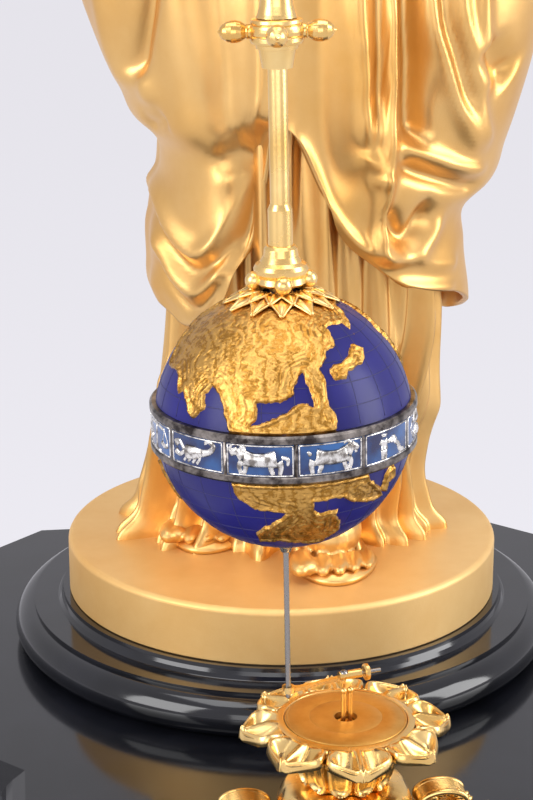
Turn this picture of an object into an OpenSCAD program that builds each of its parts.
// Mystery clock: a draped bronze figure holds a globe pendulum, which a hidden train drives round in a circle.
// Row frame: X to the right, Y to the back, Z up, origin in the middle of the plinth's underside.

/* [Case] */
// Width of the case top between its two sides
case_w = 410; // [390:5:440]
// Depth of the case top from front edge to back edge
case_d = 403; // [390:1:430]
// Height of the case top above the table
case_h = 250; // [240:1:300]
// Length of the straight edge at the back of the case top
back_w = 224; // [200:2:250]
// Width of the block that stands forward in front
block_w = 246; // [236:2:270]
// How far the front block stands out from the front cants
block_d = 132; // [120:1:150]
// Thickness of the marble top slab
slab_t = 26; // [22:1:34]
// How far the edge moulding of the top slab stands out
slab_lip = 10; // [6:1:12]
// Height of the marble plinth
plinth_h = 44; // [36:1:52]
// How far the plinth stands out from the case top
plinth_lip = 14; // [12:1:20]
// How far the walls stand back from the edge of the case top
wall_inset = 6; // [4:1:10]
// Thickness of the marble walls
wall_t = 14; // [10:1:18]
// Width of the opening in the back wall
door_w = 150; // [120:2:170]
// Height of the opening in the back wall
door_h = 120; // [100:2:140]

/* [Socle and drum] */
// Radius of the gilt drum under the figure
drum_r = 100; // [92:1:110]
// Height of the gilt drum
drum_h = 25.6; // [20:0.2:32]
// Radius of the widest part of the marble socle
socle_r = 125.8; // [118:0.2:128]
// Height of the marble socle
socle_h = 24.7; // [20:0.1:30]
// Distance from the front edge of the case top back to the drum's axis
drum_back = 265; // [262:0.5:267]
// Angle that the figure and the drum are turned from the case front
figure_turn = 7; // [4:1:9]
// Radius of the rod that fixes the figure
fix_rod_r = 5; // [4:0.5:6]

/* [Pendulum] */
// Distance from the drum's axis forward to the suspension
hang_y = 198; // [196:1:200]
// Distance of the drive pin's end to the right of the drum's axis
hang_x = 1.3; // [0.5:0.1:2.5]
// Distance of the suspension to the left of the drum's axis
hang_left = 6.5; // [0:0.5:8]
// Height of the suspension point above the drum top
pivot_h = 415; // [405:1:425]
// Radius of the suspension ball
ball_r = 4; // [3.6:0.1:5]
// Radius of the blue globe
globe_r = 46.5; // [44:0.5:48]
// Height of the globe's middle above the drum top
globe_z = 118; // [114:0.5:122]
// Wall of the globe's two halves
globe_wall = 2; // [1.5:0.1:3]
// How far the gilt land stands out from the globe
land_t = 0.7; // [0.4:0.1:1]
// How far the zodiac band stands out from the globe
band_lip = 1.5; // [1.2:0.1:2]
// Height of the zodiac band
band_h = 17.5; // [16:0.5:20]
// Number of zodiac panels
panels = 12; // [10:1:12]
// Radius of the thin upper part of the pendulum rod
rod_r = 3.4; // [3:0.1:3.8]
// Radius of the thicker lower part of the pendulum rod
thick_r = 4.35; // [4:0.05:4.8]
// Height of the rating collar's knobs above the drum top
collar_z = 256; // [250:1:262]
// Distance between the tips of two opposite rating knobs
knob_span = 40.8; // [36:0.2:44]
// Radius of the steel drive pin
pin_r = 1; // [0.8:0.1:1.2]

/* [Lotus and drive] */
// Distance from the drum's axis forward to the lotus axis
lotus_y = 191.3; // [190:0.1:193]
// Height of the petal ring above the case top
lotus_h = 45.3; // [42:0.1:50]
// Radius of the domed lotus cover
cover_r = 23.6; // [22:0.1:25]
// Radius of the petal tips
petal_r = 41.5; // [39:0.5:45]
// Number of lotus petals
petals = 8; // [6:1:9]
// Number of flutes on the lotus cup
flutes = 12; // [10:1:16]
// Height of the drive arm above the case top
arm_h = 60.8; // [58:0.1:66]
// Radius of the drive arbor
arbor_r = 2; // [1.6:0.1:2.4]

/* [Movement] */
// Height of the dial's middle above the table
dial_z = 122; // [116:1:126]
// Radius of the movement plates
plate_r = 56; // [55:0.5:58]
// Thickness of each movement plate
plate_t = 3; // [2.5:0.5:4]
// Distance between the movement plates
plate_gap = 42; // [41:0.5:43]
// Module of the barrel teeth
barrel_m = 0.6; // [0.56:0.01:0.62]
// Module of the centre wheel
centre_m = 0.5; // [0.48:0.01:0.52]
// Module of the third wheel
third_m = 0.45; // [0.43:0.01:0.46]
// Module of the fourth and contrate wheels
fourth_m = 0.4; // [0.38:0.01:0.41]
// Module of the cannon pinion and minute wheel
minute_m = 0.5; // [0.48:0.01:0.52]
// Radius of the bezel's outer edge
bezel_r = 66; // [64:0.5:68]

/* [Clearances] */
// Radial clearance of a running pivot
run_gap = 0.06; // [0.03:0.01:0.08]
// Clearance between pieces that are laid in each other
fit_gap = 0.2; // [0.1:0.05:0.25]
// Clearance between moving curved faces
free_gap = 0.4; // [0.3:0.05:0.5]

/* [Hidden] */
$fn = 64;

// Heights of the main seats above the table
top_z = case_h;
socle_top = case_h + socle_h;
drum_top = socle_top + drum_h;
// The drum stands at a fixed distance behind the front edge
drum_y = drum_back - case_d / 2;
// The figure's castings keep their shape and grow with the height of the suspension
figure_scale = pivot_h / 415;
// The rod hangs from the suspension to the end of the pin, which stands in the drive arm's hook
pin_end = arm_h - socle_h - drum_h - 3.4;
lean = atan((hang_x + hang_left) / (pivot_h - pin_end));

// ---------- Shared shapes ----------

// A closed solid through rings of points, with a middle point in each end
module loft(rings) {
    n = len(rings[0]);
    m = len(rings);
    ends = [ring_middle(rings[0]), ring_middle(rings[m - 1])];
    polyhedron(
        points = concat([for (r = rings) each r], ends),
        faces = concat(
            wall_faces(n, m, 0),
            [for (i = [0:n - 1]) [m * n, i, (i + 1) % n]],
            [for (i = [0:n - 1]) [m * n + 1, (m - 1) * n + (i + 1) % n, (m - 1) * n + i]]
        )
    );
}

function ring_middle(r) = [for (k = [0:2]) sum([for (p = r) p[k]]) / len(r)];
function sum(v, i = 0) = i < len(v) ? v[i] + sum(v, i + 1) : 0;
function wall_faces(n, m, first) = [
    for (j = [0:m - 2], i = [0:n - 1])
        let (a = first + j * n + i, b = first + j * n + (i + 1) % n)
        each [[a, a + n, b + n], [a, b + n, b]]
];

// A bar with a round section that follows a path, with one radius for each point
module limb(path, radii, sides = 14) {
    last = len(path) - 1;
    loft([for (i = [0:last])
        let (d = path[min(i + 1, last)] - path[max(i - 1, 0)],
             u = d / norm(d),
             s = cross(u, [0.3, 0.2, 1]),
             e = s / norm(s),
             f = cross(u, e))
        [for (k = [0:sides - 1]) path[i] + radii[i] * (cos(360 * k / sides) * e + sin(360 * k / sides) * f)]]);
}

// Linear blend through a list of [position, value] pairs
function along(t, table, i = 0) =
    i >= len(table) - 1 || t <= table[0][0] ? table[min(i, len(table) - 1)][1]
    : t <= table[i + 1][0]
        ? let (s = (t - table[i][0]) / (table[i + 1][0] - table[i][0]), w = s * s * (3 - 2 * s))
            table[i][1] * (1 - w) + table[i + 1][1] * w
        : along(t, table, i + 1);

// Places: the figure and the drum, the pendulum rod, the lotus
module figure_frame() translate([0, drum_y, drum_top]) rotate([0, 0, -figure_turn]) children();
module casting_frame() figure_frame() scale(figure_scale) children();
module hanger_frame() figure_frame() translate([-hang_left, -hang_y, pivot_h]) children();
module pendulum_frame() hanger_frame() rotate([0, -lean, 0]) translate([0, 0, -pivot_h]) children();
module lotus_frame() translate([0, drum_y - lotus_y, top_z]) children();

// ---------- Marble case ----------

corner = tan(22.5);
back_y = case_d / 2;
front_y = -case_d / 2;
cove_y = front_y + block_d;
wall_y = front_y + wall_inset;

// The case without its front block, set back by d from the edge of the top
function body_plan(d) = let (
    side = case_w / 2,
    back = back_w / 2,
    front = block_w / 2,
    back_cant = back_y - (side - back),
    front_cant = cove_y + (side - front)
) [
    [front - d, cove_y + corner * d], [side - d, front_cant + corner * d],
    [side - d, back_cant - corner * d], [back - corner * d, back_y - d],
    [-back + corner * d, back_y - d], [-side + d, back_cant - corner * d],
    [-side + d, front_cant + corner * d], [-front + d, cove_y + corner * d]
];
// The front block, which runs a little way into the body
function block_plan(d) = let (front = block_w / 2, inner = cove_y + 20) [
    [-front + d, front_y + d], [front - d, front_y + d], [front - d, inner], [-front + d, inner]
];
module case_plan(d) {
    polygon(body_plan(d));
    polygon(block_plan(d));
}
// A moulding round the whole case from a list of [height, set-back] pairs
module moulding(profile) {
    loft([for (p = profile) [for (q = body_plan(p[1])) [q[0], q[1], p[0]]]]);
    loft([for (p = profile) [for (q = block_plan(p[1])) [q[0], q[1], p[0]]]]);
}

foot_h = 20;
module base_plinth() color("#14141a") {
    ogee = plinth_h - foot_h - 4;
    run = plinth_lip + wall_inset;
    moulding([
        [0, -plinth_lip], [foot_h, -plinth_lip], [foot_h + 0.4, 3 - plinth_lip],
        for (i = [1:7]) [foot_h + ogee * i / 8, 3 - plinth_lip + (run - 3) * (0.5 - 0.5 * cos(22.5 * i))],
        [plinth_h - 4, wall_inset - 1], [plinth_h, wall_inset - 1]
    ]);
}

case_inner_z = case_h - slab_t;
module case_walls() color("#17171d")
difference() {
    translate([0, 0, plinth_h]) linear_extrude(case_inner_z - plinth_h) case_plan(wall_inset);
    translate([0, 0, plinth_h - 1]) linear_extrude(case_h) case_plan(wall_inset + wall_t);
    along_y(0, 0, wall_y - 1, wall_t + 2) circle(plate_r + 1);
    translate([-door_w / 2, back_y - wall_inset - wall_t - 1, dial_z - door_h / 2])
        cube([door_w, wall_t + 2, door_h]);
}

bush_r = arbor_r + 2.5;
module case_top() color("#101015")
difference() {
    translate([0, 0, case_inner_z]) moulding([
        [0, wall_inset - 3], [3, wall_inset - 3], [5, -slab_lip + 7], [7, -slab_lip + 3],
        [9, -slab_lip], [slab_t - 9, -slab_lip], [slab_t - 7, -slab_lip + 0.6],
        [slab_t - 5, -slab_lip + 2.2], [slab_t - 3, -slab_lip + 4.8], [slab_t - 1.2, -slab_lip * 0.2],
        [slab_t, 0]
    ]);
    translate([0, drum_y, case_inner_z - 1]) cylinder(r = fix_rod_r + fit_gap, h = slab_t + 2);
    translate([0, drum_y - lotus_y, case_inner_z - 1]) cylinder(r = bush_r, h = slab_t + 2);
}

// ---------- Socle, drum and fixing rod ----------

module round_socle() color("#121218")
translate([0, drum_y, top_z])
difference() {
    rotate_extrude($fn = 96) {
        torus_r = 9;
        square([socle_r - torus_r, socle_h * 0.8]);
        translate([socle_r - torus_r, torus_r]) circle(torus_r);
        square([socle_r - 12, 18.2]);
        polygon(concat(
            [[0, 18], [socle_r - 15, 18]],
            [for (i = [0:6]) let (a = 15 * i)
                [drum_r + 3 + (socle_r - drum_r - 18) * (1 - sin(a)), 18 + (socle_h - 18) * (1 - cos(a))]],
            [[0, socle_h]]
        ));
    }
    translate([0, 0, -1]) cylinder(r = fix_rod_r + fit_gap, h = socle_h + 2);
}

module figure_drum() color("#c89646")
translate([0, drum_y, socle_top])
difference() {
    rotate_extrude($fn = 96) polygon(concat(
        [[0, 0], [drum_r - 0.6, 0], [drum_r, 0.6]],
        [for (i = [0:5]) [drum_r - 2.5 + 2.5 * cos(18 * i), drum_h - 2.5 + 2.5 * sin(18 * i)]],
        [[0, drum_h]]
    ));
    translate([0, 0, -1]) cylinder(r = fix_rod_r + fit_gap, h = drum_h + 2);
}

rod_in_figure = 30;
nut_t = 8;
module figure_rod() color("#8c8c90")
translate([0, drum_y, 0]) {
    translate([0, 0, case_inner_z - nut_t - 6]) cylinder(r = fix_rod_r, h = drum_top + rod_in_figure - case_inner_z + nut_t + 6);
    difference() {
        translate([0, 0, case_inner_z - nut_t]) cylinder(r = fix_rod_r * 1.9, h = nut_t, $fn = 6);
        translate([0, 0, case_inner_z - nut_t - 1]) cylinder(r = fix_rod_r + fit_gap / 4, h = nut_t + 2);
    }
}

// ---------- Figure: bronze castings, in the figure's own frame ----------

waist_z = 372;
hem_z = 110;
cloth_gap = 6;
seat_gap = 1.9;

// The under-dress: an oval that narrows to the waist, with upright pleats round it
function chiton_ring(z, grow = 0) = let (
    half_w = along(z, [[0, 68], [14, 60], [60, 54], [120, 53], [200, 56], [300, 60], [waist_z, 46]]),
    half_d = along(z, [[0, 57], [14, 50], [60, 46], [200, 46], [300, 46], [waist_z, 34]]),
    mid = along(z, [[0, 0], [60, 12], [120, 14], [200, 12], [waist_z, 4]]),
    pleat = along(z, [[0, 5.5], [110, 4], [190, 3], [waist_z, 1.5]])
) [for (k = [0:63]) let (
    a = 360 * k / 64,
    bump = pleat * (0.6 * cos(16 * a + 0.2 * z) + 0.4 * cos(7 * a + 40)) - (grow > 0 ? pleat : 0)
) [mid + (half_w + bump + grow) * cos(a), (half_d + bump + grow) * sin(a), z]];

module chiton() color("#c8963f")
casting_frame() {
    difference() {
        loft([for (z = [0, 5, 14, 30, 50, 75, 100, 130, 160, 195, 240, 300, waist_z]) chiton_ring(z)]);
        translate([0, 0, -1]) cylinder(r = fix_rod_r + 2, h = rod_in_figure + 3, $fn = 12);
    }
    difference() {
        for (foot = [[22, -45, -2], [-33, -8, -14]])
            translate([foot[0], foot[1], 0]) rotate([0, 0, foot[2]]) {
                for (toe = [0:4]) hull() {
                    translate([7.4 * toe - 13, 0.6 * toe * toe - 24.5, 5.4]) sphere(r = 5.4 - 0.5 * toe, $fn = 10);
                    translate([4.6 * toe - 10, 2, 9]) sphere(r = 7.5 - 0.4 * toe, $fn = 10);
                }
                translate([0, 4, 0]) linear_extrude(2.8)
                    polygon([for (i = [0:23]) [18.5 * cos(15 * i), 33 * sin(15 * i)]]);
            }
        translate([-150, -150, -20]) cube([300, 300, 20.02]);
    }
}

// The mantle: wrapped round the hips, gathered to the sides, with an open fold in front
function mantle_point(a, t) = let (
    fold = abs(((a + 267) % 360) - 180),
    hem = hem_z + 8 * cos(3 * a + 30) + 66 * max(0, 1 - fold / 30) + 10 * sin(a / 2),
    z = hem + t * (waist_z - 2 - hem),
    half_w = along(z, [[100, 69], [150, 73], [200, 84], [245, 97], [300, 92], [340, 74], [waist_z, 58]]),
    half_d = along(z, [[100, 61], [180, 62], [245, 66], [300, 64], [340, 56], [waist_z, 47]]),
    mid = along(z, [[100, 14], [160, 13], [245, 11], [waist_z, 4]]),
    deep = along(t, [[0, 5], [0.4, 6.5], [1, 1.5]]),
    bump = deep * (0.55 * cos(11 * a + 0.5 * z) + 0.45 * cos(5 * a - 0.32 * z + 60))
) [mid + (half_w + bump) * cos(a), (half_d + bump) * sin(a), z];

mantle_sides = 64;
module mantle() color("#d2a04a")
casting_frame() {
    m = 15;
    inner = 6;
    outer_rings = [for (j = [0:m]) [for (k = [0:mantle_sides - 1]) mantle_point(360 * k / mantle_sides, j / m)]];
    inner_rings = [for (j = [0:inner]) [for (k = [0:mantle_sides - 1])
        let (p = outer_rings[0][k], z = p[2] + (waist_z + 1 - p[2]) * j / inner,
             q = chiton_ring(z, along(j, [[inner - 1, cloth_gap], [inner, seat_gap]]))[k])
        [q[0], q[1], z]]];
    count = mantle_sides;
    outer = (m + 1) * count;
    polyhedron(
        points = concat([for (r = outer_rings) each r], [for (r = inner_rings) each r]),
        faces = concat(
            wall_faces(count, m + 1, 0),
            [for (f = wall_faces(count, inner + 1, outer)) [f[2], f[1], f[0]]],
            [for (k = [0:count - 1]) let (n = (k + 1) % count) each
                [[k, n, outer + n], [k, outer + n, outer + k]]],
            [for (k = [0:count - 1]) let (n = (k + 1) % count, a = m * count, b = outer + inner * count) each
                [[a + k, b + k, b + n], [a + k, b + n, a + n]]]
        )
    );
}

// Upper body from the waist to the neck, with the gathered bodice of the dress
arm_seat = 46;
arm_mid = 4;
module torso() color("#cf9b45")
casting_frame() difference() {
    loft([for (z = [waist_z + 0.4, 380, 395, 412, 430, 448, 464, 478, 488, 494, 500, 512, 520]) let (
        half_w = along(z, [[waist_z, 40], [395, 41], [430, 48], [464, 56], [482, 54], [497, 24], [505, 15], [520, 14]]),
        half_d = along(z, [[waist_z, 31], [395, 32], [430, 37], [464, 34], [482, 26], [497, 18], [505, 15], [520, 14]]),
        bust = along(z, [[400, 0], [434, 9], [458, 0]])
    ) [for (k = [0:39]) let (
        a = 9 * k,
        side = a - 270,
        chest = bust * (0.4 * max(0, -sin(a)) + (abs(side) < 51 ? 0.6 * abs(sin(3.5 * side)) : 0)),
        bump = along(z, [[waist_z, 1.2], [470, 1], [488, 0]]) * cos(14 * a + z)
    ) [arm_mid + (half_w + bump) * cos(a), (half_d + bump + chest) * sin(a), z]]]);
    for (side = [-1, 1]) translate([arm_mid + side * (arm_seat + 20), 0, 460]) cube([40, 120, 80], center = true);
}

// Head with a calm, plain face, the hair drawn back into a knot
head_z = 520;
module head() color("#cf9b45")
casting_frame() translate([4, -4, head_z + 0.2]) {
    loft([for (z = [0, 6, 12, 20, 28, 36, 44, 52, 60, 68, 75, 80, 83]) let (
        wide = along(z, [[0, 15], [8, 18], [24, 25], [44, 29], [60, 28], [76, 17], [83, 5]]),
        deep = along(z, [[0, 15], [6, 26], [24, 32], [44, 36], [60, 34], [76, 20], [83, 6]]),
        nose = along(z, [[22, 0], [27, 5.5], [44, 1], [50, 0]])
    ) [for (k = [0:35]) let (
        a = 10 * k,
        ahead = abs(a - 270),
        face = ahead < 12 ? nose * (1 - ahead / 12) : 0,
        hair = ahead > 62 && z > 26 ? 2.2 + 0.8 * cos(15 * a + 3 * z) : 0
    ) [(wide + hair) * cos(a), (deep + face + hair) * sin(a), z]]]);
    translate([0, 38, 38]) sphere(r = 14, $fn = 12);
}

// The arm that holds the pendulum: shoulder, elbow, wrist and closed hand
shoulder = figure_scale * [arm_mid - arm_seat, -2, 464];
elbow = figure_scale * [-72, -96, 436];
grip = [-hang_left, -hang_y, pivot_h + 32];
wrist = grip + [-16, 30, 4];
stem_r = 3.5;
module right_arm() color("#cf9b45")
figure_frame()
    difference() {
        union() {
            limb([shoulder, shoulder + [-8, 0, 0], shoulder + [-17, -8, -3], shoulder + [-22, -24, -8],
                  (shoulder + elbow) / 2 + [-12, -6, 0], elbow, (elbow + wrist) / 2 + [-2, 0, 1], wrist],
                 [16, 17.5, 17, 16, 15, 12.5, 11.5, 8.5], 16);
            limb([wrist + [-3, 6, 0], wrist + [4, -8, 0], grip + [-5, 8, 1], grip + [2, -1, 0], grip + [6, -7, -1]],
                 [8, 9.5, 12, 12.5, 8], 14);
        }
        translate(grip + [0, 0, -30]) cylinder(r = stem_r + fit_gap / 4, h = 60);
    }

// The other arm is bent and holds the mantle at the hip
module left_arm() color("#cf9b45")
casting_frame()
    limb([[arm_mid + arm_seat, 0, 464], [arm_mid + arm_seat + 9, 0, 464], [72, 3, 452], [81, 6, 430], [88, 12, 402],
          [92, 8, 380], [94, -14, 374], [92, -40, 374], [86, -60, 370], [80, -74, 362]],
         [16, 17.5, 17, 15.5, 14, 12.5, 12, 10, 9, 5], 16);

// ---------- Suspension ----------

// Turned hanger in the hand, with a cup for the ball at its lower end
cup_r = ball_r + free_gap;
module hanger() color("#d8ab58")
hanger_frame()
    rotate_extrude() difference() {
        union() {
            polygon([[0, 6], [stem_r, 6], [stem_r, 62], [stem_r + 2.5, 62], [stem_r + 2.5, 64], [stem_r, 66], [0, 70]]);
            polygon([[0, -2.6], [ball_r + 4, -2.6], [ball_r + 4.6, 1], [ball_r + 4, 6], [stem_r + 1, 10], [0, 10]]);
            translate([stem_r, 12]) circle(1.6);
        }
        circle(cup_r);
        translate([0, -8]) square([ball_r - 0.7, 8]);
    }

// Ball of the suspension, which turns in the cup about an axis that leans to the lotus
module suspension_link() color("#9a9aa0")
pendulum_frame() translate([0, 0, pivot_h])
    difference() {
        sphere(r = ball_r);
        translate([0, 0, -ball_r - 1]) cylinder(r = pin_r + run_gap, h = ball_r + 2.5);
    }

// ---------- Pendulum, measured from the drum top ----------

collar_low = collar_z - 12.4;
collar_high = collar_z + 4.3;
thick_top = globe_z + globe_r + 31;
lower_z = globe_z + globe_r + 3.2;

// Turned neck above the rating collar, with the thin upper rod up to the ball
module pendulum_head() color("#dcae57")
pendulum_frame() {
    rotate_extrude() {
        neck = collar_high + 0.3;
        polygon([[0, neck], [7.2, neck], [6.6, neck + 1.2], [5.9, neck + 4], [5.4, neck + 8],
                 [4.4, neck + 15], [5, neck + 22], [6.4, neck + 27], [6.4, neck + 30], [4, neck + 33],
                 [2.6, neck + 38], [2.4, pivot_h - 18], [1.6, pivot_h - 12], [pin_r, pivot_h - 10],
                 [pin_r, pivot_h + 1.2], [0, pivot_h + 1.2]]);
        translate([5.6, neck + 28.5]) circle(2);
    }
}

// Four-knob rating nut on the rod's thread
module rating_collar() color("#d9aa52")
pendulum_frame()
    difference() {
        union() {
            translate([0, 0, collar_z]) rotate_extrude()
                polygon([[0, collar_low - collar_z], [5.3, collar_low - collar_z], [6.5, -6], [7.3, -5.8],
                         [7.5, -4.4], [8.9, -4], [9.3, -3.2], [9.3, -1.9], [8.9, -1.4], [9.2, -1.1], [9.5, 0.2],
                         [9.5, 1.2], [9.1, 2.1], [8.7, 2.3], [9, 3], [8.8, 4], [7.6, 4.3], [0, 4.3]]);
            for (k = [0:3]) rotate([0, 0, 90 * k]) translate([0, 0, collar_z]) rotate([0, 90, 0])
                rotate_extrude() {
                    tip = knob_span / 2;
                    polygon([[0, 7], [2.9, 7], [2.4, tip - 10.6], [2.6, tip - 10.2],
                             for (i = [0:8]) let (a = 20 * i)
                                 [0.15 + 3.7 * sin(max(a, 36)), tip - 5.7 - 5 * cos(max(a, 36))],
                             [0.8, tip - 0.9], [0, tip]]);
                }
        }
        translate([0, 0, collar_low - 1]) cylinder(r = rod_r + run_gap, h = 40);
    }

// Rod in two thicknesses, which carries the rating nut and the globe
module pendulum_rod() color("#d9aa52")
pendulum_frame()
    rotate_extrude() polygon([
        [0, globe_z - globe_r - 1.5], [2.2, globe_z - globe_r - 1.5], [2.2, lower_z - 2], [thick_r, lower_z - 2],
        [thick_r, thick_top - 1], [rod_r + 0.5, thick_top], [rod_r, thick_top + 1],
        [rod_r, collar_high + 0.3], [0, collar_high + 0.3]
    ]);

// Flared collar that seats the rod on the globe, with four ball studs
module lower_collar() color("#dcae57")
pendulum_frame()
    difference() {
        union() {
            rotate_extrude() polygon([
                [0, lower_z], [8.2, lower_z], [9.2, lower_z + 1], [8.8, lower_z + 3], [9.6, lower_z + 4.4],
                [9.75, lower_z + 6], [9, lower_z + 7.4], [7.4, lower_z + 8.4], [6.2, lower_z + 10.4],
                [5.9, lower_z + 13], [5, lower_z + 14], [0, lower_z + 14]
            ]);
            for (k = [0:3]) rotate([0, 0, 90 * k + 4]) translate([9.6, 0, lower_z + 1.6]) sphere(r = 3.2);
        }
        translate([0, 0, lower_z - 3]) cylinder(r = thick_r + 0.02, h = 30);
    }

// A skin that follows the globe, inner and outer distance from its middle
module globe_skin(inner, outer)
    difference() {
        sphere(r = outer, $fn = 96);
        sphere(r = inner, $fn = 96);
    }

module rosette() color("#e0b25c")
pendulum_frame() translate([0, 0, globe_z])
    difference() {
        intersection() {
            globe_skin(globe_r + land_t + 0.02, globe_r + land_t + 1.6);
            linear_extrude(globe_r + 5) polygon([for (k = [0:47]) let (
                step = k % 6,
                r = [18.5, 15.5, 12.6, 12, 12.6, 15.5][step],
                turn = 45 * floor(k / 6) + [0, 7, 14, 22.5, 31, 38][step]
            ) r * [cos(turn), sin(turn)]]);
        }
        cylinder(r = thick_r + 0.4, h = globe_r * 2);
    }

module globe_half(side) {
    mirror([0, 0, side])
        difference() {
            intersection() {
                globe_skin(globe_r - globe_wall, globe_r);
                translate([0, 0, band_h / 2 - 2]) cylinder(r = globe_r + 1, h = globe_r);
            }
            cylinder(r = 2.2 + 0.05, h = globe_r * 2);
            translate([0, 0, band_h / 2 - 3]) difference() {
                cylinder(r = globe_r + 2, h = 3);
                translate([0, 0, -1]) cylinder(r = band_seat, h = 5);
            }
        }
}
band_seat = sqrt(pow(globe_r - globe_wall / 2, 2) - pow(20 / 2, 2));
module globe_upper() color("#3a3a98") pendulum_frame() translate([0, 0, globe_z]) globe_half(0);
module globe_lower() color("#2c2c80") pendulum_frame() translate([0, 0, globe_z]) globe_half(1);

// Land masses as [middle longitude, middle latitude, coast, inner sea], front is longitude 0
LANDS = [
    [-10, 50, [[-106, 49], [-92, 43], [-76, 29], [-60, 27], [-53, 24], [-49, 19], [-42, 15], [-38, 19], [-39, 25],
               [-36, 29], [-33, 27], [-28, 21], [-25, 14], [-23, 8], [22, 8], [23, 16], [21, 22], [20, 38],
               [28, 45], [34, 47], [37, 55], [33, 57], [54, 57], [56, 50], [69, 60], [77, 67], [120, 76], [-140, 72]],
              [[-13, 24], [-2, 24], [5, 28], [8, 36], [11, 38], [12, 31], [14, 27], [13, 22], [8, 24], [0, 19],
               [-15, 14], [-12, 17]]],
    [38, 38, [[48, 46], [53, 42], [48, 37], [36, 35], [33, 32], [26, 32], [25, 37], [32, 39], [40, 41]], []],
    [10, -28, [[-23, -8], [-23, -13], [-19, -21], [-9, -25], [1, -26], [-3, -30], [-11, -36], [-18, -42], [-17, -48],
               [5, -49], [26, -52], [32, -41], [27, -31], [25, -25], [17, -28], [12, -21], [27, -20], [38, -26],
               [55, -26], [50, -22], [40, -14], [36, -8]], []],
    [54, -20, [[51, -13], [57, -12], [60, -18], [57, -27], [51, -23]], []],
    [130, 32, [[92, 44], [120, 58], [156, 50], [162, 24], [140, 8], [112, 8], [100, 22]], []],
    [150, -26, [[128, -8], [164, -8], [170, -30], [150, -56], [134, -34]], []],
    [-100, -28, [[-122, -14], [-84, -16], [-82, -36], [-104, -46]], []]
];
function flat_point(p, lon, lat) = let (
    dl = p[0] - lon
) globe_r * [cos(p[1]) * sin(dl), cos(lat) * sin(p[1]) - sin(lat) * cos(p[1]) * cos(dl)];

module continents() color("#cfa254")
pendulum_frame() translate([0, 0, globe_z])
    difference() {
        intersection() {
            globe_skin(globe_r + 0.03, globe_r + land_t);
            union() {
                for (land = LANDS)
                    rotate([0, 0, land[0]]) rotate([90 - land[1], 0, 0]) linear_extrude(globe_r + 3)
                        difference() {
                            polygon([for (p = land[2]) flat_point(p, land[0], land[1])]);
                            if (len(land[3]) > 0) polygon([for (p = land[3]) flat_point(p, land[0], land[1])]);
                        }
                cylinder(r = 19, h = globe_r + 3);
            }
        }
        translate([0, 0, -band_h / 2]) cylinder(r = globe_r + 3, h = band_h);
        cylinder(r = thick_r + 0.4, h = globe_r * 2);
    }

rim_h = 3;
panel_r = globe_r + 0.3;
panel_t = 0.6;
bar_w = 1.3;
module zodiac_band() color("#8e8a86")
pendulum_frame() translate([0, 0, globe_z])
    difference() {
        rotate_extrude($fn = 96) {
            polygon([
                [band_seat + 0.02, -band_h / 2 + 0.1], [globe_r + band_lip - 0.8, -band_h / 2 + 0.1],
                [globe_r + band_lip, -band_h / 2 + 0.9], [globe_r + band_lip, -band_h / 2 + rim_h - 0.4],
                [globe_r + band_lip - 0.5, -band_h / 2 + rim_h], [globe_r + band_lip - 0.5, band_h / 2 - rim_h],
                [globe_r + band_lip, band_h / 2 - rim_h + 0.4], [globe_r + band_lip, band_h / 2 - 0.9],
                [globe_r + band_lip - 0.8, band_h / 2 - 0.1], [band_seat + 0.02, band_h / 2 - 0.1]
            ]);
        }
        for (k = [0:panels - 1]) panel_space(k, 0);
    }
module panel_space(k, less)
    rotate([0, 0, panel_turn + 360 * k / panels + bar_turn / 2 + less])
        rotate_extrude(angle = 360 / panels - bar_turn - 2 * less, $fn = 96)
            translate([panel_r + less, -band_h / 2 + rim_h + less])
                square([less == 0 ? band_lip + 1 : panel_t, band_h - 2 * (rim_h + less)]);
bar_turn = bar_w / globe_r * 57.3;
panel_turn = 4.7;
module zodiac_panels() color("#27479a")
pendulum_frame() translate([0, 0, globe_z]) for (k = [0:panels - 1]) panel_space(k, 0.06);

module pole_collar() color("#a8a8ac")
pendulum_frame()
    difference() {
        low = globe_z - globe_r;
        rotate_extrude() polygon([[0, low - 5], [1.8, low - 5], [2.6, low - 3], [4.6, low - 1.6], [5.4, low - 0.2],
                                  [5.4, low + 0.29], [3.6, low + 0.12], [2.2, low + 0.03], [0, low + 0.03]]);
        translate([0, 0, low - 1.5]) cylinder(r = 2.2 + 0.05, h = 4);
        translate([0, 0, low - 6]) cylinder(r = pin_r + 0.02, h = 8);
    }

module pendulum_pin() color("#7f7f86")
pendulum_frame() {
    low = globe_z - globe_r;
    end = pivot_h - (pivot_h - pin_end) / cos(lean);
    translate([0, 0, end + 0.6]) cylinder(r = pin_r, h = low - 1.52 - end - 0.6);
    translate([0, 0, end]) cylinder(r1 = pin_r * 0.5, r2 = pin_r, h = 0.6);
}

// ---------- Lotus, measured from the case top ----------

ring_w = 2.4;
cup_top_r = cover_r - 3;
foot_top = lotus_h - 26;

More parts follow.
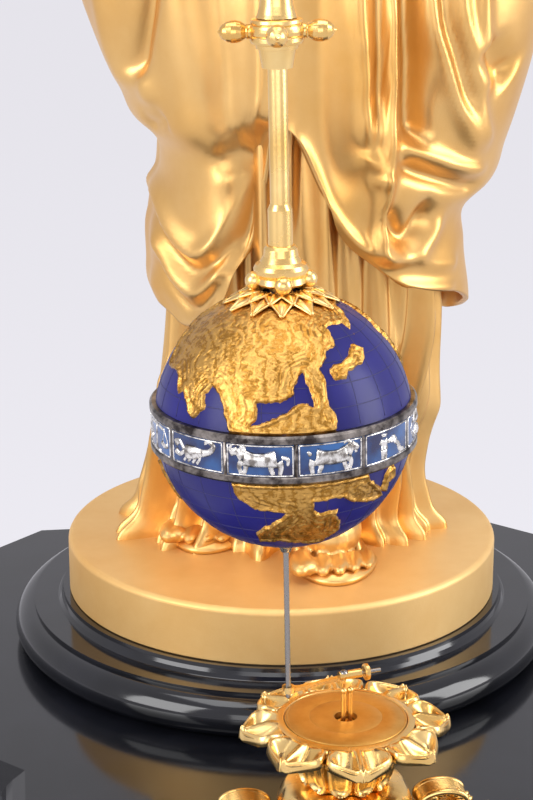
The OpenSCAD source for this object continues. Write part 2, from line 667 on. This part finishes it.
// One petal: broad shoulders that run to a point, rolled lips and a middle rib with hollows between them
module petal() {
    thick = 1.3;
    along_n = 10;
    across_n = 8;
    start_r = cover_r + ring_w - 0.8;
    function upper(i, j) = let (
        u = i / along_n,
        v = 2 * j / across_n - 1,
        t = max(0, (u - 0.35) / 0.65),
        r = start_r + (petal_r - start_r) * u,
        wide = (start_r + (petal_r - start_r) * min(u, 0.35)) * tan(180 / petals) * pow(1 - t, 1.6) + 0.2,
        dip = 2 * sin(180 * min(1, u * 1.1)) * sin(180 * abs(v)),
        z = lotus_h - 0.8 - dip + 0.8 * sin(180 * u) - 2.7 * u * u
    ) [r, wide * v, z];
    loft([for (i = [along_n:-1:0]) concat(
        [for (j = [0:across_n]) upper(i, j)],
        [for (j = [across_n:-1:0]) upper(i, j) - [0, 0, thick * (1 - 0.4 * i / along_n)]]
    )]);
}
module lotus_petals() color("#e2b25c")
lotus_frame() {
    for (k = [0:petals - 1]) rotate([0, 0, 360 * k / petals - 90]) petal();
    translate([0, 0, lotus_h - 3]) difference() {
        cylinder(r = cover_r + ring_w, h = 3);
        translate([0, 0, -1]) cylinder(r = cover_r + 0.02, h = 5);
    }
}

cover_hole = 4.4;
hub_r = 3.6;
module lotus_cover() color("#d3a14c")
lotus_frame() translate([0, 0, lotus_h - 2])
    difference() {
        rotate_extrude() polygon(concat(
            [[0, 0], [cover_r, 0], [cover_r, 1.6], [cover_r - 0.3, 2]],
            [for (i = [0:5]) let (t = i / 5) [cover_r - 0.5 - 9 * t, 2.6 + 0.5 * sin(90 * t)]],
            [[cover_r - 9.9, 2.9], [cover_r - 10.4, 3.2], [0, 3.3]]
        ));
        translate([0, 0, -1]) cylinder(r = cover_hole, h = 8);
    }

hub_z = lotus_h - 7;
module lotus_cup() color("#c9933c")
lotus_frame()
    difference() {
        high = lotus_h - 3;
        union() {
            translate([0, 0, foot_top]) rotate_extrude() polygon(concat(
                [[0, 0]],
                [for (i = [0:8]) let (t = i / 8) [cup_top_r - 5 + 3.4 * sin(90 * t), (high - foot_top) * t]],
                [[0, high - foot_top]]
            ));
            for (k = [0:flutes - 1]) rotate([0, 0, 360 * (k + 0.5) / flutes])
                translate([cup_top_r - 6, 0, foot_top]) rotate([0, 7, 0])
                    cylinder(r1 = 3.7, r2 = 4.7, h = high - foot_top - 1);
        }
        translate([0, 0, foot_top - 1]) cylinder(r = arbor_r + run_gap, h = lotus_h);
        translate([0, 0, hub_z - free_gap]) cylinder(r = cover_hole, h = lotus_h);
        translate([0, 0, foot_top - 10]) cylinder(r = cup_top_r + 10, h = 10);
        translate([0, 0, high]) cylinder(r = cup_top_r + 10, h = 10);
    }

// Spreading foot under the cup, with a pair of C-scrolls that lie out to the sides
scroll_r = 9.5;
module lotus_foot() color("#cf9b45")
lotus_frame()
    difference() {
        union() {
            rotate_extrude() polygon(concat(
                [[0, 0], [30, 0], [30, 2], [27, 3.5]],
                [for (i = [0:8]) let (a = 11.25 * i) [16.6 + 7 * cos(a), 5 + (foot_top - 5) * sin(a)]],
                [[0, foot_top]]
            ));
            for (side = [0, 1]) mirror([side, 0, 0]) {
                translate([26, -4, 0]) cube([34, 12, 2]);
                translate([40, 7, scroll_r + 1]) rotate([90, 0, 0]) scroll(10);
                for (k = [0:4]) rotate([0, 0, -12 + 12 * k]) translate([27, 0, 1.5]) rotate([0, 78, 0])
                    cylinder(r1 = 3.6, r2 = 1.6, h = 12);
            }
        }
        translate([0, 0, -1]) cylinder(r = bush_r, h = lotus_h);
        translate([0, 0, -10]) cylinder(r = 90, h = 10);
    }
// A C-scroll seen from the front: a band that curls in as it turns
module scroll(wide)
    linear_extrude(wide) polygon(concat(
        [for (i = [0:26]) let (a = 100 - 16 * i, r = scroll_r * (1 - i / 36)) [r * cos(a) * 1.4, r * sin(a)]],
        [for (i = [26:-1:0]) let (a = 100 - 16 * i, r = scroll_r * (1 - i / 36) - 2.1) [r * cos(a) * 1.4, r * sin(a)]]
    ));

// ---------- Drive on the lotus ----------

hook_r = norm([hang_x * cos(figure_turn) - hang_y * sin(figure_turn),
               -hang_x * sin(figure_turn) - hang_y * cos(figure_turn) + lotus_y]);
hook_angle = atan2(-hang_x * sin(figure_turn) - hang_y * cos(figure_turn) + lotus_y,
                   hang_x * cos(figure_turn) - hang_y * sin(figure_turn));
arm_low = arm_h - 0.7;
arm_t = 1.4;
eye_t = 2.2;

hub_h = 5;
rear = 2.7;
module drive_arbor() color("#8e8e94")
lotus_frame() {
    low = pinion_z - top_z;
    translate([0, 0, low + 3.5]) cylinder(r = arbor_r, h = hub_z - low - 3.5);
    translate([0, 0, low - 9]) cylinder(r = 1.2, h = 7);
    translate([0, 0, low - 3]) linear_extrude(7) rotate(180 / leaf) gear(leaf, fourth_m, pinion_shape);
    translate([0, 0, hub_z - 0.5]) cylinder(r = 1.5, h = hub_h);
}

// Brass fork on top of the arbor: two prongs with ball ends in front, and a post that carries the arm behind
module drive_fork() color("#d8a84f")
lotus_frame() rotate([0, 0, hook_angle]) {
    difference() {
        translate([0, 0, hub_z + 0.02]) cylinder(r = hub_r, h = hub_h);
        translate([0, 0, hub_z - 1]) cylinder(r = 1.52, h = hub_h + 0.6);
    }
    prong_h = arm_low - 2.4 - hub_z - hub_h;
    for (side = [-1, 1]) translate([side * 1.35, 0.9, hub_z + hub_h - 0.5]) {
        cylinder(r = 0.95, h = prong_h);
        translate([0, 0, prong_h]) sphere(r = 1.3);
    }
    translate([0, -rear + 0.2, hub_z + hub_h - 0.5]) cylinder(r = 0.9, h = arm_low - hub_z - hub_h + 0.48);
}

// Flat arm with a hooked end for the pin and a block for the balance rod
module drive_arm() color("#d3a24b")
lotus_frame() rotate([0, 0, hook_angle]) translate([0, -rear + 0.2, arm_low])
    difference() {
        union() {
            linear_extrude(arm_t) polygon(concat(
                [for (i = [0:8]) arm_side(i / 8, 1)], [for (i = [8:-1:0]) arm_side(i / 8, -1)]));
            translate([hook_r, rear - 0.2, 0]) cylinder(r = 2.5, h = eye_t);
            translate([-7, 0, 1.7]) rotate([0, 90, 0]) cylinder(r = 1.7, h = 9);
        }
        translate([hook_r, rear - 0.2, -1]) cylinder(r = pin_r + free_gap, h = 5);
        translate([hook_r, rear - 0.2 - pin_r - free_gap, -1]) cube([4, 2 * (pin_r + free_gap), 5]);
        translate([-8, 0, 1.7]) rotate([0, 90, 0]) cylinder(r = 0.82, h = 5);
        translate([-8, -3, -3]) cube([12, 6, 3]);
        translate([0, 0, 2.9]) cylinder(r = 1.75, h = 3);
    }
function arm_side(t, side) = [hook_r * t, (rear - 0.2) * (1 - cos(180 * t)) / 2 + side * (1.4 - 0.5 * sin(180 * t))];

module arm_screw() color("#9c9ca2")
lotus_frame() rotate([0, 0, hook_angle]) translate([0, -rear + 0.2, arm_low + 2.92])
    difference() {
        sphere_r = 1.7;
        intersection() {
            translate([0, 0, 1.1 - sphere_r]) sphere(r = sphere_r);
            cylinder(r = 2, h = 2);
        }
        translate([-2, -0.2, 0.7]) cube([4, 0.4, 1]);
    }

balance_l = 12;
module balance_rod() color("#94949a")
lotus_frame() rotate([0, 0, hook_angle]) translate([-3.1, -rear + 0.2, arm_low + 1.7]) rotate([0, -90, 0])
    cylinder(r = 0.8, h = balance_l);

nut_at = 8.2;
module balance_nut() color("#cfa04a")
lotus_frame() rotate([0, 0, hook_angle]) translate([-nut_at, -rear + 0.2, arm_low + 1.7]) rotate([0, -90, 0])
    difference() {
        rotate_extrude() polygon([[0, 0], [2.4, 0], [3.2, 0.5], [3.2, 1.7], [2.4, 2.2], [0, 2.2]]);
        translate([0, 0, -1]) cylinder(r = 0.8 + run_gap, h = 5);
    }

// ---------- Gears ----------

// Tooth shape: [share of the pitch, addendum and dedendum in modules]
wheel_shape = [0.42, 0.85, 1.35];
pinion_shape = [0.36, 0.55, 1.45];
module gear(n, m, shape) {
    r = n * m / 2;
    half = 180 / n * shape[0];
    polygon([for (k = [0:n - 1]) each let (a = 360 * k / n) [
        for (p = [[r - shape[2] * m, -half], [r, -half], [r + 0.6 * shape[1] * m, -0.62 * half],
                  [r + shape[1] * m, -0.2 * half], [r + shape[1] * m, 0.2 * half],
                  [r + 0.6 * shape[1] * m, 0.62 * half], [r, half], [r - shape[2] * m, half]])
            p[0] * [cos(a + p[1]), sin(a + p[1])]
    ]]);
}
// A crossed-out wheel with five arms, turned so that a tooth or a gap meets its partner
module wheel(n, m, turn) {
    r = n * m / 2 - 1.35 * m;
    difference() {
        rotate(turn) gear(n, m, wheel_shape);
        difference() {
            circle(r - 1.1);
            circle(r * 0.28);
            for (k = [0:4]) rotate(72 * k + 20) translate([0, -0.6]) square([r, 1.2]);
        }
    }
}

leaf = 8;
centre_n = 64;
third_n = 60;
fourth_n = 60;
contrate_n = 58;
barrel_n = 84;
first_leaf = 12;
inter_n = 80;
inter_leaf = 10;
inter_m = 0.55;
function polar(r, a) = r * [cos(a), sin(a)];
third_angle = 40;
fourth_angle = 115;
inter_angle = -54;
barrel_angle = 188;
third_at = polar(centre_m * (centre_n + leaf) / 2, third_angle);
fourth_at = third_at + polar(third_m * (third_n + leaf) / 2, fourth_angle);
contrate_at = [0, fourth_at[1] + sqrt(pow(fourth_m * (fourth_n + leaf) / 2, 2) - pow(fourth_at[0], 2))];
contrate_angle = atan2(contrate_at[1] - fourth_at[1], contrate_at[0] - fourth_at[0]);
inter_at = polar(inter_m * (inter_n + inter_leaf) / 2, inter_angle);
barrel_at = inter_at + polar(barrel_m * (barrel_n + first_leaf) / 2, barrel_angle);
pinion_z = dial_z + contrate_at[1] + fourth_m * contrate_n / 2;
function mesh_gap(angle, n) = angle + 180 + 180 / n;

// Shapes in the dial's plane: x to the right, z up from the dial's middle, y0 the front face
module along_y(x, z, y0, h) translate([x, y0 + h, dial_z + z]) rotate([90, 0, 0]) linear_extrude(h) children();
module bar_y(p, y0, y1, r) along_y(p[0], p[1], y0, y1 - y0) circle(r);

// ---------- Movement ----------

bridge_y = drum_y - lotus_y;
plate_back = bridge_y - 10.2;
gap_front = plate_back - plate_gap;
plate_front = gap_front - plate_t;
work_gap = 7;
dial_t = 2;
dial_y = plate_front - work_gap - dial_t;
pivot_r = 0.9;
hands_r = 1.5;
hand_end = dial_y - 5.2;
barrel_arbor_r = 3;

module pivot_hole(p, r, y0) along_y(p[0], p[1], y0 - 1, plate_t + 2) circle(r + run_gap);
pillar_r = 3;
pillar_ring = plate_r - 7;
pillar_angles = [28, 152, 205, 326];

module front_plate() color("#c7a24a")
difference() {
    union() {
        along_y(0, 0, plate_front, plate_t) circle(plate_r, $fn = 96);
        bar_y(work_at, hour_y - 0.8, plate_front + 1, 0.8);
        bar_y(click_at, ratchet_y - 0.5, plate_front + 1, 1.2);
    }
    pivot_hole([0, 0], hands_r, plate_front);
    for (p = [third_at, fourth_at, contrate_at, inter_at]) pivot_hole(p, pivot_r, plate_front);
    pivot_hole(barrel_at, barrel_arbor_r, plate_front);
    for (a = pillar_angles) pivot_hole(polar(pillar_ring, a), pillar_r / 2, plate_front);
}

module back_plate() color("#c7a24a")
difference() {
    along_y(0, 0, plate_back, plate_t) circle(plate_r, $fn = 96);
    pivot_hole([0, 0], pivot_r, plate_back);
    for (p = [third_at, fourth_at, inter_at]) pivot_hole(p, pivot_r, plate_back);
    pivot_hole(contrate_at, pivot_r, plate_back);
    pivot_hole(barrel_at, barrel_arbor_r - 1, plate_back);
    for (a = pillar_angles) pivot_hole(polar(pillar_ring, a), pillar_r / 2, plate_back);
}

module pillars() color("#cfa84f")
for (a = pillar_angles) let (p = polar(pillar_ring, a)) {
    translate([p[0], gap_front, dial_z + p[1]]) rotate([-90, 0, 0])
        rotate_extrude() polygon([[0, 0], [pillar_r + 1, 0], [pillar_r + 1, 3], [pillar_r, 5], [pillar_r - 0.6, plate_gap / 2],
            [pillar_r, plate_gap - 5], [pillar_r + 1, plate_gap - 3], [pillar_r + 1, plate_gap], [0, plate_gap]]);
    bar_y(p, plate_front, plate_back + plate_t, pillar_r / 2);
}

seat_lip = 3;
module seat_ring() color("#b08d3c")
difference() {
    y0 = wall_y + wall_t;
    back = plate_front + plate_t + seat_lip;
    union() {
        along_y(0, 0, y0, 3) circle(plate_r + 10, $fn = 96);
        along_y(0, 0, y0, back - y0) circle(plate_r + 3, $fn = 96);
    }
    along_y(0, 0, y0 - 1, plate_front + plate_t - y0 + 1) circle(plate_r + fit_gap, $fn = 96);
    along_y(0, 0, y0 - 1, 40) circle(plate_r - 2.4, $fn = 96);
}

barrel_r = barrel_m * barrel_n / 2 - 1.5 * barrel_m - 0.8;
barrel_y = gap_front + 8;
rim_y = gap_front + 31;
module barrel() color("#c9a44c")
difference() {
    union() {
        bar_y(barrel_at, barrel_y, rim_y + 4, barrel_r);
        along_y(barrel_at[0], barrel_at[1], rim_y, 2.5)
            rotate(barrel_angle + 180) gear(barrel_n, barrel_m, wheel_shape);
    }
    bar_y(barrel_at, barrel_y + 1.5, rim_y + 2.8, barrel_r - 1.5);
    bar_y(barrel_at, barrel_y - 1, rim_y + 5, barrel_arbor_r + run_gap);
}

module barrel_arbor() color("#85858c") {
    difference() {
        bar_y(barrel_at, dial_y - 0.9, gap_front + plate_gap, barrel_arbor_r);
        for (k = [0:3]) translate([barrel_at[0], dial_y - 5, dial_z + barrel_at[1]]) rotate([0, 45 + 90 * k, 0])
            translate([barrel_arbor_r * 0.72, 0, -5]) cube([5, work_gap + dial_t - 0.4, 10]);
    }
    bar_y(barrel_at, gap_front + plate_gap, plate_back + plate_t, barrel_arbor_r - 1);
    bar_y(barrel_at, barrel_y + 5, rim_y, 7);
}

ratchet_n = 24;
ratchet_r = 11;
ratchet_t = 1.6;
ratchet_y = plate_front - 0.2 - ratchet_t;
module ratchet_wheel() color("#b9b9be")
difference() {
    along_y(barrel_at[0], barrel_at[1], ratchet_y, ratchet_t)
        polygon([for (k = [0:ratchet_n - 1]) each let (a = 360 * k / ratchet_n)
            [polar(ratchet_r, a), polar(ratchet_r - 1.5, a + 1)]]);
    bar_y(barrel_at, ratchet_y - 1, plate_front + 1, barrel_arbor_r + 0.02);
}

click_at = barrel_at + [-3.6, -17.2];
module click() color("#a9a9b0") {
    tip = barrel_at + polar(ratchet_r + 0.25, 262);
    along_y(0, 0, ratchet_y, ratchet_t) difference() {
        union() {
            translate(click_at) circle(2.6);
            polygon([click_at + [-2.6, 0], click_at + [2.4, -1], tip + [1.4, -0.2], tip, tip + [-1.2, -1]]);
        }
        translate(click_at) circle(1.2 + run_gap);
    }
}

// An arbor with its wheel and its pinion; the wheel's and the pinion's turn set how they mesh
module arbor_set(p, wheel_n, wheel_m, wheel_y, wheel_turn, pin_n, pin_m, pin_y, pin_l, pin_turn, back) {
    shoulder = 0.3;
    bar_y(p, gap_front + shoulder, back - shoulder, pivot_r + 0.4);
    bar_y(p, plate_front + 0.3, back + plate_t - 0.3, pivot_r);
    along_y(p[0], p[1], wheel_y, 1.3) wheel(wheel_n, wheel_m, wheel_turn);
    along_y(p[0], p[1], pin_y, pin_l) rotate(pin_turn) gear(pin_n, pin_m, pinion_shape);
}

centre_y = gap_front + 3;
third_y = gap_front + 14;
fourth_y = gap_front + 24;
inter_y = gap_front + 37.5;
module intermediate_wheel() color("#d0aa52")
arbor_set(inter_at, inter_n, inter_m, inter_y, inter_angle + 180, first_leaf, barrel_m, rim_y - 1, 5,
    barrel_angle + 180 / first_leaf, plate_back);

module centre_wheel() color("#d0aa52") {
    bar_y([0, 0], gap_front + 0.3, plate_back - 0.3, 2);
    bar_y([0, 0], hand_end + 0.6, gap_front + 0.5, hands_r);
    bar_y([0, 0], plate_back - 0.5, plate_back + plate_t - 0.3, pivot_r);
    along_y(0, 0, centre_y, 1.3) wheel(centre_n, centre_m, third_angle);
    along_y(0, 0, inter_y - 1, 3.6) rotate(inter_angle + 180 / inter_leaf) gear(inter_leaf, inter_m, pinion_shape);
}

module third_wheel() color("#d0aa52")
arbor_set(third_at, third_n, third_m, third_y, fourth_angle, leaf, centre_m, centre_y - 1.5, 5,
    mesh_gap(third_angle, leaf), plate_back);

module fourth_wheel() color("#d0aa52")
arbor_set(fourth_at, fourth_n, fourth_m, fourth_y, contrate_angle, leaf, third_m, third_y - 2, 5,
    mesh_gap(fourth_angle, leaf), plate_back);

// Contrate wheel behind the back plate: its teeth stand up towards the drive arbor's pinion
tooth_l = 3;
contrate_r = fourth_m * contrate_n / 2;
contrate_tip = bridge_y - fourth_m * leaf / 2 + 0.25;
contrate_y = contrate_tip - tooth_l - 1.2;
module contrate_wheel() color("#d0aa52") {
    p = contrate_at;
    bar_y(p, gap_front + 0.3, plate_back - 0.3, pivot_r + 0.4);
    bar_y(p, plate_front + 0.3, contrate_y + 1.2, pivot_r);
    bar_y(p, plate_back + plate_t + 0.2, contrate_y + 1.8, 2.2);
    along_y(p[0], p[1], fourth_y - 2, 5) rotate(mesh_gap(contrate_angle, leaf)) gear(leaf, fourth_m, pinion_shape);
    along_y(p[0], p[1], contrate_y, 1.2) difference() {
        circle(contrate_r + 0.8);
        difference() {
            circle(contrate_r - 2);
            circle(3.4);
            for (k = [0:3]) rotate(90 * k + 45) translate([0, -0.7]) square([contrate_r, 1.4]);
        }
    }
    for (k = [0:contrate_n - 1])
        translate([p[0], contrate_y + 1.1, dial_z + p[1]]) rotate([0, 90 - 360 * k / contrate_n, 0])
            translate([contrate_r - 0.8, 0, 0]) rotate([0, 90, 0])
                linear_extrude(1.6) polygon([[-0.27, 0], [0.27, 0], [0.27, tooth_l - 0.4], [0.1, tooth_l + 0.1],
                                             [-0.1, tooth_l + 0.1], [-0.27, tooth_l - 0.4]]);
}

module arbor_bridge() color("#c7a24a")
difference() {
    high = pinion_z - 5;
    union() {
        translate([-20, contrate_tip + 0.5, high - 5]) cube([40, 6, 5]);
        translate([0, bridge_y, high - 5]) cylinder(r = 3, h = 5);
        for (side = [-1, 1]) translate([side * 17.2 - 2.6, plate_back + plate_t, high - 5])
            cube([5.2, contrate_tip + 1 - plate_back - plate_t, 5]);
    }
    translate([0, bridge_y, high - 6]) cylinder(r = 1.2 + run_gap, h = 8);
}

// ---------- Motion work, hands and dial ----------

minute_n = 36;
cannon_n = 12;
hour_pin_n = 10;
hour_n = 40;
work_r = minute_m * (minute_n + cannon_n) / 2;
hour_m = 2 * work_r / (hour_n + hour_pin_n);
work_angle = -45;
work_at = polar(work_r, work_angle);
cannon_y = plate_front - 2.4;
hour_y = plate_front - 5;
cannon_r = 2.3;
pipe_gap = run_gap;

module cannon_pinion() color("#9a9aa0")
difference() {
    union() {
        bar_y([0, 0], hand_end, plate_front - 0.3, cannon_r);
        along_y(0, 0, cannon_y, 1.6) rotate(work_angle + 180 / cannon_n) gear(cannon_n, minute_m, pinion_shape);
    }
    bar_y([0, 0], hand_end - 1, plate_front + 1, hands_r + run_gap);
}

module minute_wheel() color("#d0aa52")
difference() {
    union() {
        along_y(work_at[0], work_at[1], cannon_y, 1.4) wheel(minute_n, minute_m, work_angle + 180);
        along_y(work_at[0], work_at[1], hour_y - 0.3, 3) rotate(work_angle + 180 + 180 / hour_pin_n)
            gear(hour_pin_n, hour_m, pinion_shape);
    }
    bar_y(work_at, hour_y - 2, plate_front + 1, 0.8 + run_gap);
}

module hour_wheel() color("#d0aa52")
difference() {
    union() {
        along_y(0, 0, hour_y, 1.4) rotate(work_angle) gear(hour_n, hour_m, wheel_shape);
        bar_y([0, 0], dial_y - 2.6, hour_y + 0.5, cannon_r + 1);
    }
    bar_y([0, 0], dial_y - 4, plate_front, cannon_r + run_gap);
}

// A pierced hand that points up before it is turned: length, width and the boss's bore
module hand(length, wide, boss, bore)
    difference() {
        union() {
            circle(boss);
            polygon([[-wide * 0.3, 0], [wide * 0.3, 0], [wide * 0.22, length * 0.55], [wide, length * 0.68],
                     [wide * 0.25, length * 0.8], [0, length], [-wide * 0.25, length * 0.8],
                     [-wide, length * 0.68], [-wide * 0.22, length * 0.55]]);
        }
        circle(bore);
    }
module hour_hand() color("#1d2740") along_y(0, 0, dial_y - 2.4, 0.9) rotate(55) hand(29, 3, 5.2, cannon_r + 1.02);
module minute_hand() color("#1d2740") along_y(0, 0, hand_end + 0.2, 0.9) rotate(-52) hand(44, 2.4, 3.8, cannon_r + 0.02);

dial_r = plate_r - 0.2;
module dial() color("#f2efe6")
difference() {
    union() {
        along_y(0, 0, dial_y, dial_t) circle(dial_r, $fn = 96);
        for (a = [90, 170, 290]) bar_y(polar(dial_r - 8, a), dial_y + dial_t - 0.5, plate_front, 1.5);
    }
    bar_y([0, 0], dial_y - 1, dial_y + dial_t + 1, cannon_r + 1 + free_gap);
    bar_y(barrel_at, dial_y - 1, dial_y + dial_t + 1, barrel_arbor_r + free_gap);
}

bezel_d = 9;
bezel_pin = [bezel_r + 1.5, wall_y - 4];
leaf_h = 8;
hinge_r = 2.4;
module bezel() color("#d9ab55")
difference() {
    union() {
        translate([0, wall_y - 0.3, dial_z]) rotate([90, 0, 0]) rotate_extrude($fn = 96)
            polygon([[plate_r - 6, 0], [bezel_r - 1, 0], [bezel_r, 1], [bezel_r - 1, 4], [bezel_r - 4, 5],
                     [bezel_r - 6, bezel_d], [bezel_r - 9, bezel_d], [plate_r - 4, 6], [plate_r - 6, 2]]);
        for (side = [-1, 1]) translate([bezel_pin[0], bezel_pin[1], dial_z + side * leaf_h - leaf_h / 2 + 0.1])
            cylinder(r = hinge_r, h = leaf_h - 0.2);
        for (side = [-1, 1]) translate([bezel_r - 3, bezel_pin[1] - 1, dial_z + side * leaf_h - leaf_h / 2 + 0.1])
            cube([4.5, 2, leaf_h - 0.2]);
    }
    translate([0, wall_y - 3.2, dial_z]) rotate([90, 0, 0]) cylinder(r = plate_r - 4.6, h = 1.6, $fn = 96);
    translate([bezel_pin[0], bezel_pin[1], dial_z - 20]) cylinder(r = 1 + run_gap, h = 40);
    translate([bezel_pin[0] - hinge_r - 0.3, bezel_pin[1] - hinge_r - 0.5, dial_z - leaf_h / 2])
        cube([8, 2 * hinge_r + 1, leaf_h]);
}
module bezel_glass() color("#dfe6ee", 0.4)
translate([0, wall_y - 3.25, dial_z]) rotate([90, 0, 0]) cylinder(r = plate_r - 4.7, h = 1.5, $fn = 96);

door_t = 3;
door_y = back_y - wall_inset;
door_pin = [-door_w / 2 - 14, door_y + 4];
module hinge_leaf(pin, inward) {
    translate([pin[0], pin[1], -leaf_h / 2 + 0.1]) difference() {
        union() {
            cylinder(r = hinge_r, h = leaf_h - 0.2);
            translate([inward > 0 ? 0 : -1.6, min(0, inward * 3.9), 0]) cube([1.6, 3.9, leaf_h - 0.2]);
        }
        translate([0, 0, -1]) cylinder(r = 1.005, h = leaf_h + 2);
    }
    translate([pin[0], pin[1], -1.5 * leaf_h]) cylinder(r = 1, h = 3 * leaf_h);
}
module hinges() color("#c9a04a") {
    translate([0, 0, dial_z]) hinge_leaf(bezel_pin, 1);
    for (side = [-1, 1]) translate([0, 0, dial_z + side * door_h / 3]) hinge_leaf(door_pin, -1);
}
module back_door() color("#b8923f")
difference() {
    union() {
        translate([-door_w / 2 - 8, door_y + 0.3, dial_z - door_h / 2 - 8]) cube([door_w + 16, door_t, door_h + 16]);
        for (side = [-1, 1], end = [-1, 1])
            translate([0, 0, dial_z + side * door_h / 3 + end * leaf_h - leaf_h / 2 + 0.1]) {
                translate([door_pin[0], door_pin[1], 0]) cylinder(r = hinge_r, h = leaf_h - 0.2);
                translate([door_pin[0], door_y + 1.3, 0]) cube([8, 2, leaf_h - 0.2]);
            }
        translate([door_w / 2 - 4, door_y + door_t, dial_z]) rotate([-90, 0, 0])
            rotate_extrude() polygon([[0, 0], [3, 0], [2.4, 3], [5, 6], [5.4, 8], [4, 10], [0, 11]]);
    }
    translate([door_pin[0], door_pin[1], 0]) cylinder(r = 1 + run_gap, h = case_h);
}

base_plinth();
case_walls();
case_top();
back_door();
hinges();
round_socle();
figure_drum();
figure_rod();
chiton();
mantle();
torso();
head();
right_arm();
left_arm();
hanger();
suspension_link();
pendulum_head();
rating_collar();
pendulum_rod();
lower_collar();
rosette();
globe_upper();
globe_lower();
continents();
zodiac_band();
zodiac_panels();
pole_collar();
pendulum_pin();
lotus_petals();
lotus_cover();
lotus_cup();
lotus_foot();
drive_arbor();
drive_fork();
drive_arm();
arm_screw();
balance_rod();
balance_nut();
arbor_bridge();
seat_ring();
front_plate();
back_plate();
pillars();
barrel();
barrel_arbor();
ratchet_wheel();
click();
intermediate_wheel();
centre_wheel();
third_wheel();
fourth_wheel();
contrate_wheel();
cannon_pinion();
minute_wheel();
hour_wheel();
hour_hand();
minute_hand();
dial();
bezel();
bezel_glass();
